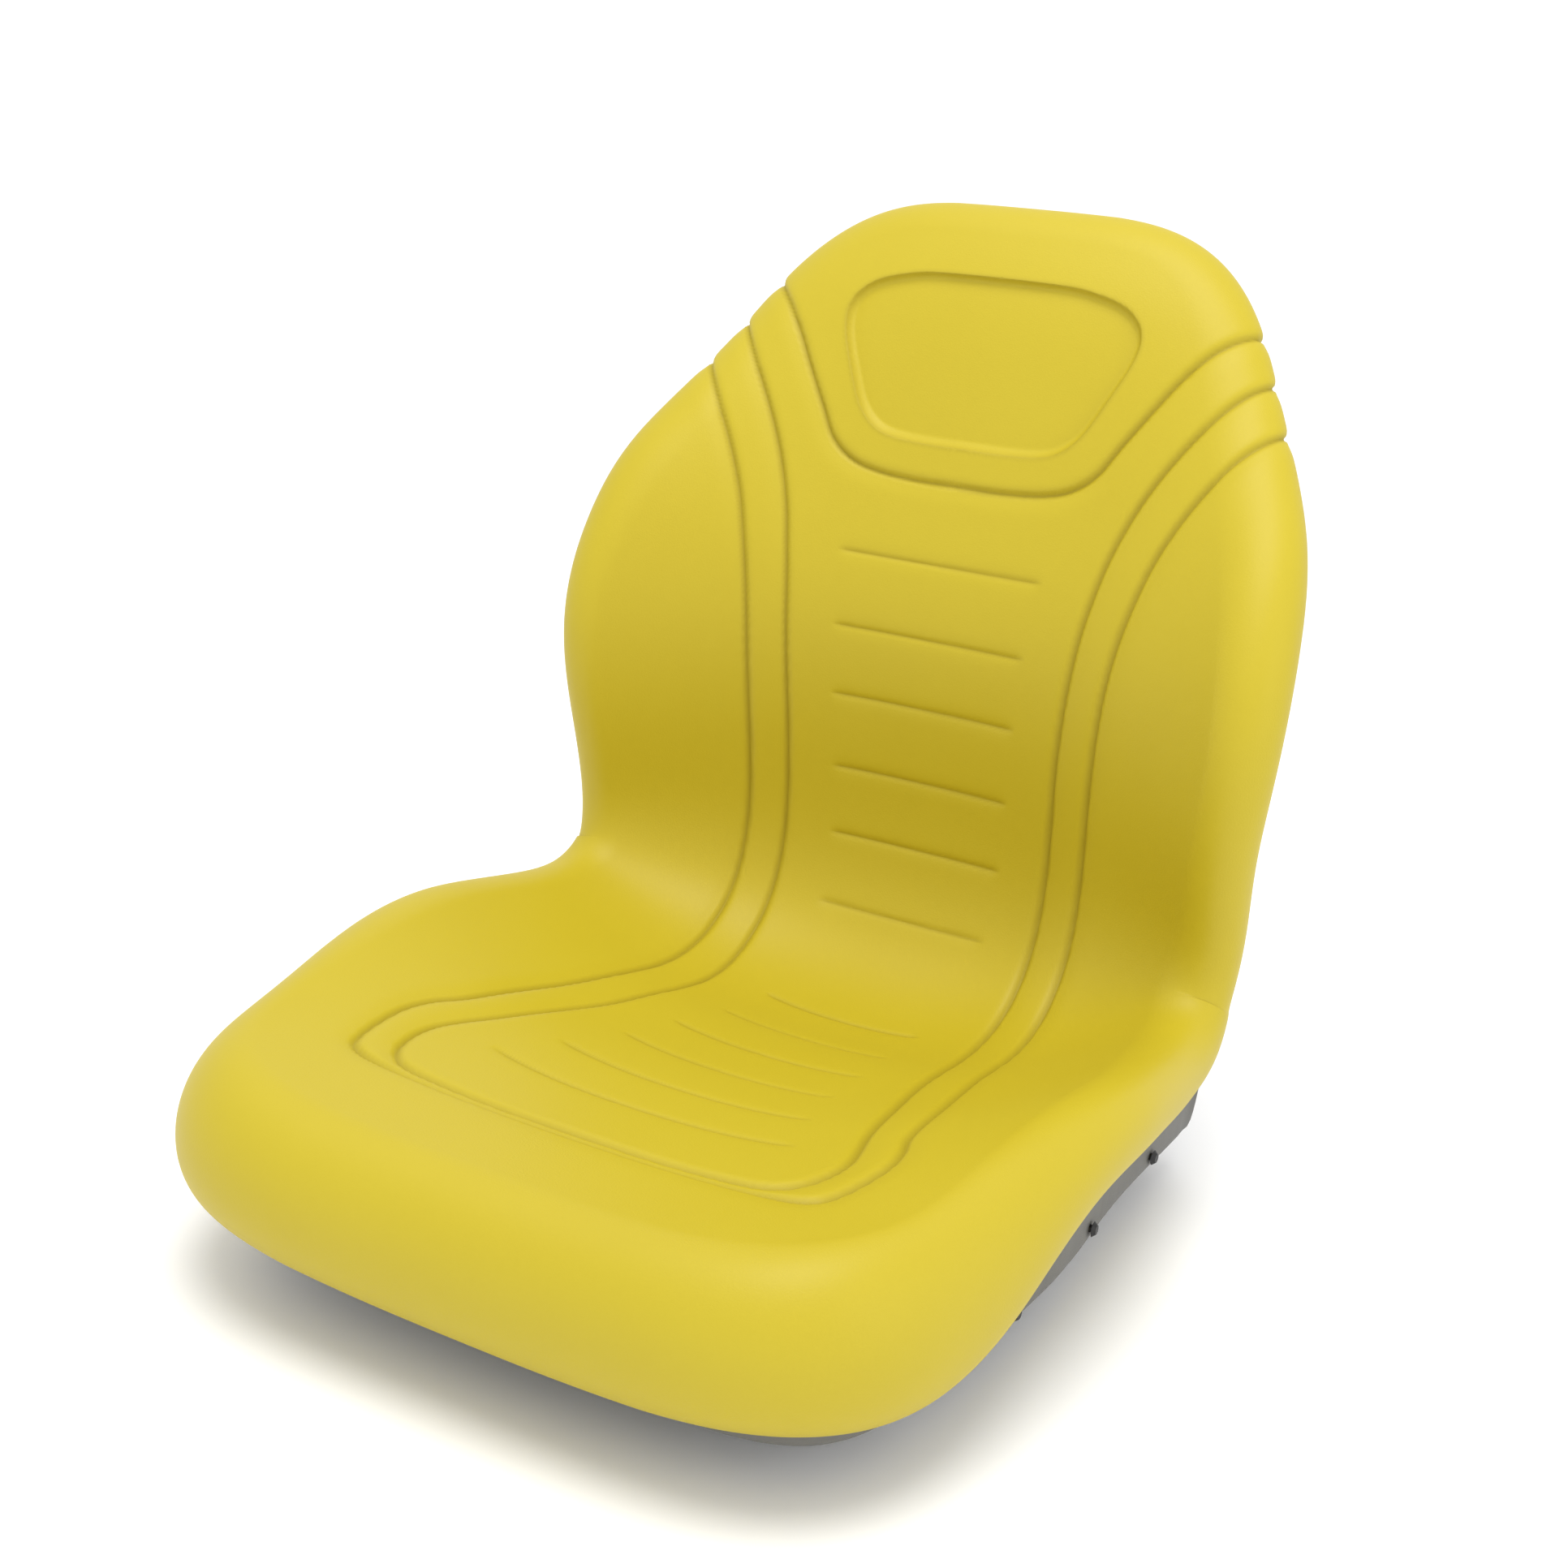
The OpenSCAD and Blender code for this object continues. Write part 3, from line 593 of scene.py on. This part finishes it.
def nearest(line, places, reach=26.0):
    """For each place: the distance to a line, the nearest spot on it, the line's strength there and
    which side of the line the place is on."""
    distance = np.full(len(places), reach)
    spot = places.copy()
    strength = np.zeros(len(places))
    beside = np.zeros(len(places))
    for a, b in zip(line[:-1], line[1:]):
        low, high = np.minimum(a, b)[:2] - reach, np.maximum(a, b)[:2] + reach
        inside = np.nonzero(np.all((places > low) & (places < high), axis=1))[0]
        way = (b - a)[:2]
        from_a = places[inside] - a[:2]
        t = np.clip(from_a @ way / max(way @ way, 1e-9), 0, 1)
        foot = a[:2] + t[:, None] * way
        off = np.linalg.norm(places[inside] - foot, axis=1)
        closer = off < distance[inside]
        chosen = inside[closer]
        distance[chosen] = off[closer]
        spot[chosen] = foot[closer]
        strength[chosen] = a[2] + t[closer] * (b[2] - a[2])
        beside[chosen] = np.sign(way[0] * from_a[closer, 1] - way[1] * from_a[closer, 0])
    return distance, spot, strength, beside


# Each groove is (up the seat from the front edge, off the centre line, strength), front to top.
outer_groove = through([(60, 0, 0.35), (60, 55, 0.35), (60.5, 100, 0.5), (61.5, 124, 0.8), (63.5, 136, 1),
                        (69, 144.5, 1), (81, 149.5, 1), (101, 153, 1), (122, 154, 1), (142, 150.5, 1),
                        (167, 142.5, 1), (215, 134.5, 1),
                        (265, 127, 1), (320, 121, 1), (390, 119, 1), (530, 118.5, 1), (602, 121, 1),
                        (650, 126, 1), (693, 136, 1), (723, 147, 1), (755, 164, 1), (787, 187, 1),
                        (812, 212, 1), (832, 240, 1)])
inner_groove = through([(67, 0, 0.7), (67, 50, 0.7), (68, 85, 0.8), (69.5, 107, 0.9), (75, 119.5, 1),
                        (86, 127.5, 1), (103, 132, 1), (121, 132, 1), (140, 127.5, 1), (169, 119, 1),
                        (220, 108, 1),
                        (270, 99, 1), (350, 92.5, 1), (418, 93, 1), (540, 93.5, 1), (590, 95, 1),
                        (646, 99.5, 1), (679, 104.5, 1), (711, 112, 1), (745, 125, 1), (778, 143.5, 1),
                        (812, 168, 1), (831, 188, 1), (850, 212, 1), (866, 240, 1)])
head_groove = through([(735, 0, 0.8), (735, 30, 0.85), (737.5, 58, 0.9), (743, 76, 1), (754, 90, 1),
                       (772, 101, 1), (796, 116, 1), (818, 130, 1), (838, 146, 1), (856, 167, 1),
                       (872, 194, 1), (884, 222, 1), (893, 245, 1)])
head_field = through([(758, 0, 1), (758, 28, 1), (760, 52, 1), (766, 66, 1), (778, 77, 1), (798, 87, 1),
                      (822, 97, 1), (838, 99, 1), (850, 93, 1), (859, 79, 1), (865, 52, 1), (866, 22, 1),
                      (866, 0, 1)])
# Cross creases: where each one's ends are, half its length, and how far its middle bows forward.
creases = [(685, 71, 0), (638, 67, 0), (593, 65, 0), (543, 63, 0), (497, 62, 0), (450, 61, 0),
           (362, 55, 5), (315, 58, 6), (268, 65, 7), (222, 71, 8), (174, 83, 8), (130, 98, 8)]


def crease_line(ends, half, bow):
    across = np.linspace(0, half, 25)
    share = across / half
    return np.stack([ends - bow * (1 - share ** 2), across, np.minimum(1, (1 - share) * 10)], axis=1)


crease_lines = [crease_line(*c) for c in creases]
groove_lines = [outer_groove, inner_groove, head_groove]

edge = Outline(620)
row_gap = 1.45
half_span, roll_length = 205.0, 90.0  # lengths that the rows are shared out over
draw_in = 2 * row_gap  # points this near a groove are drawn in towards it, so that it stays crisp
stations = np.linspace(0, last, 2000)
climbed = sitting_surface(stations, stations * 0)
climb = np.concatenate([[0], np.cumsum(np.linalg.norm(np.diff(climbed, axis=0), axis=1))])

# Rows of points over the sitting surface, then round the rolled edge.
rows, directions, unrolled = [], [], []
for share in np.linspace(0, 1, int(half_span / row_gap)):
    at, across = edge.top_row(share)
    flat = np.stack([np.interp(at, stations, climb), across], axis=1)
    if 0 < share < 1:
        for line in groove_lines + crease_lines + [head_field]:
            distance, spot, strength, beside = nearest(line, flat, reach=draw_in)
            held = (distance < draw_in) & (flat[:, 1] > 0)
            flat[held] = spot[held] + (flat[held] - spot[held]) * (distance[held] / draw_in)[:, None]
    at = np.interp(flat[:, 0], climb, stations)
    across = flat[:, 1]
    rows.append(sitting_surface(at, across))
    directions.append(surface_normal(at, across))
    unrolled.append(flat)

rim_flat = unrolled[-1]
towards = np.gradient(rim_flat, axis=0)
aside = unit(np.stack([-towards[:, 1], towards[:, 0]], axis=1))
aside[0], aside[-1] = (-1, 0), (1, 0)
rolled = 0
turned = np.linspace(0, math.pi, int(roll_length / row_gap))[1:]
for angle in turned:
    out = edge.out * (edge.bulge * math.sin(angle))[:, None]
    down = edge.normal * (edge.thickness / 2 * (1 - math.cos(angle)))[:, None]
    row = edge.edge + out - down
    rolled = rolled + np.linalg.norm(row - rows[-1], axis=1)
    rows.append(row)
    directions.append(unit(edge.out * (math.sin(angle) / edge.bulge)[:, None]
                           + edge.normal * (math.cos(angle) / (edge.thickness / 2))[:, None]))
    unrolled.append(rim_flat + aside * rolled[:, None])
visible = len(rows)

rows = np.array(rows)
directions = np.array(directions)
flat = np.array(unrolled).reshape(-1, 2)
fade_from, fade_over = 2.1, 0.6  # angles round the rolled edge where the grooves run out
fading = np.ones(visible)
fading[-len(turned):] = 1 - rounded_step((turned - fade_from) / fade_over)
fading = np.repeat(fading, rows.shape[1])

# A groove is a soft valley, wider on its outer side, with a crisp crease along its bottom.
depth = np.zeros(len(flat))
# shade is painted shade: how far the vinyl's colour is darkened, strongest along the bottom of each groove
# and cross crease.
shade = np.zeros(len(flat))
for line in groove_lines:
    distance, spot, strength, beside = nearest(line, flat)
    soft = np.where(beside > 0, 7.5, 3.5)
    valley = 1.7 * np.exp(-(distance / soft) ** 2)
    crease = 1.9 * np.clip(1 - (distance / 2.1) ** 2, 0, 1) ** 1.5
    depth = np.maximum(depth, (valley + crease) * strength * fading)
    shade = np.maximum(shade, np.exp(-(distance / 1.6) ** 2) * strength * fading)
for line in crease_lines:
    distance, spot, strength, beside = nearest(line, flat, reach=14.0)
    valley = 0.5 * np.exp(-(distance / 5) ** 2) + 0.9 * np.exp(-(distance / 1.3) ** 2)
    depth = np.maximum(depth, valley * strength)
    shade = np.maximum(shade, 0.7 * np.exp(-(distance / 1.2) ** 2) * strength)

# The headrest's field is sunk all over, with a steep step at its top and a gentler one at its foot.
distance, spot, strength, beside = nearest(head_field, flat, reach=140.0)
within = np.zeros(len(flat), bool)
for a, b in zip(head_field[:-1], head_field[1:]):
    crosses = (a[0] > flat[:, 0]) != (b[0] > flat[:, 0])
    where = a[1] + (flat[:, 0] - a[0]) * (b[1] - a[1]) / (b[0] - a[0] + 1e-12)
    within ^= crosses & (np.abs(flat[:, 1]) < where)
ledge = np.interp(flat[:, 0], [758, 780, 840, 866], [6.0, 4.5, 3.4, 2.6])
field_depth = 4.6
depth = depth + field_depth * np.clip(distance / ledge, 0, 1) ** 0.7 * within
# A thin line of painted shade along the headrest field's outline, where its step is.
shade = np.maximum(shade, 0.6 * np.exp(-(distance / 1.5) ** 2))

shape = rows.reshape(-1, 3) - directions.reshape(-1, 3) * depth[:, None]
rows = list(shape.reshape(rows.shape))
# The hidden side: in under the edge to the pan's wall, down it and over the pan's floor.
under = edge.wall_inset() + wall + gap
for share in np.linspace(0, 1, 18)[1:]:
    rows.append(edge.edge - edge.normal * edge.thickness[:, None] - edge.out * (under * share)[:, None])
wall_top, wall_foot = rows[-1], edge.wall_row(wall + gap + 1, 0, base + wall + gap, 1)
for share in np.linspace(0, 1, 6)[1:]:
    rows.append(wall_top + (wall_foot - wall_top) * share)
for share in np.linspace(floor_share, 0, 12):
    rows.append(edge.floor_row(share, 0, base + wall + gap))

vinyl = Finish("yellow vinyl", roughness=0.5, specular=0.34)
mottle = vinyl.noise(7, detail=3)
grain = vinyl.cells(1100, feature="SMOOTH_F1")
pores = vinyl.noise(2600, detail=2)
# Painted shade: in the grooves, the cross creases and along the headrest field's outline, the base colour is
# darkened towards a deep yellow. The same mask makes those places a little rougher.
painted_groove_shade = vinyl.start.add("ShaderNodeAttribute", {"attribute_name": "groove"}, {}, output=2)
vinyl_tone = mottle.blend(linear(177, 158, 25), linear(182, 164, 33))
vinyl.set("Base Color", (painted_groove_shade * 0.45).blend(vinyl_tone, linear(128, 109, 15)))
vinyl.set("Roughness", 0.46 + mottle * 0.1 + painted_groove_shade * 0.1)
vinyl.bump(grain * 0.75 + pores * 0.25, 0.00016, strength=0.5)

cushion = closed_skin("cushion", np.array(rows), vinyl)
half = edge.steps + 1
loop = 2 * edge.steps
# The painted shade is stored on the cushion's points as the attribute groove, for the vinyl's colour to read.
darkened = np.zeros(len(cushion.data.vertices), np.float32)
by_row = shade.reshape(visible, half)
darkened[:half] = by_row[0]
whole = np.concatenate([by_row[1:], by_row[1:, -2:0:-1]], axis=1).ravel()
darkened[half:half + len(whole)] = whole
cushion.data.attributes.new("groove", "FLOAT", "POINT").data.foreach_set("value", darkened)
insert_pocket, switch_pocket = (7.6, 17), (19.6, 25)  # radius and height above the pan's underside
for places, (radius, tall) in ((bolt_places, insert_pocket), (switch_place, switch_pocket)):
    round_holes(cushion, places, radius, base, base + tall)
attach(cushion, "seat")
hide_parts("seat_skin", "foam_core")


# ---- Floor, light and camera
# A white paper sweep that curves up all round, one wide soft light overhead and a weak one from the side.
around, bend, flat_radius = 96, 1.6, 2.6
sweep = [(flat_radius, 0.0)] + [(flat_radius + bend * math.sin(a), bend * (1 - math.cos(a)))
                                for a in np.linspace(0, 1.45, 16)[1:]]
verts = [(r * math.cos(2 * math.pi * k / around), r * math.sin(2 * math.pi * k / around), cad_low.z + z)
         for r, z in sweep for k in range(around)]
paper = Finish("studio paper", roughness=0.9, specular=0.2)
paper.set("Base Color", paper.noise(3).blend(linear(248, 248, 248), linear(251, 251, 251)))
faces = [tuple(range(around))] + tube_faces(len(sweep), around)[:-2]
floor = new_piece("studio_sweep", verts, faces, paper.material, smooth=False)

scene = bpy.context.scene
scene.view_settings.view_transform = "Standard"
world = bpy.data.worlds.new("studio")
scene.world = world
world.use_nodes = True
world.node_tree.nodes["Background"].inputs["Color"].default_value = (1, 1, 1, 1)
world.node_tree.nodes["Background"].inputs["Strength"].default_value = 1.0
target = Vector((0, 0.05, 0.25))


def soft_light(name, place, size, power):
    lamp = bpy.data.lights.new(name, "AREA")
    lamp.shape = "DISK"
    lamp.size = size
    lamp.energy = power
    light = bpy.data.objects.new(name, lamp)
    light.location = place
    light.rotation_euler = (target - Vector(place)).to_track_quat("-Z", "Y").to_euler()
    scene.collection.objects.link(light)


soft_light("key", (0.3, -0.5, 3.0), 2.0, 58)
soft_light("side", (2.6, -0.4, 1.2), 1.6, 9)

camera_data = bpy.data.cameras.new("camera")
camera_data.lens = 50
camera_data.sensor_width = 36
camera_data.clip_end = 60
camera = bpy.data.objects.new("camera", camera_data)
right = Vector((0.8619, 0.5033, 0.0618))
up = Vector((-0.2060, 0.2362, 0.9496))
back = right.cross(up)
turn = Matrix((right, up, back)).transposed()
camera.matrix_world = Matrix.Translation((0.570, -1.000, 0.633)) @ turn.to_4x4()
scene.collection.objects.link(camera)
scene.camera = camera
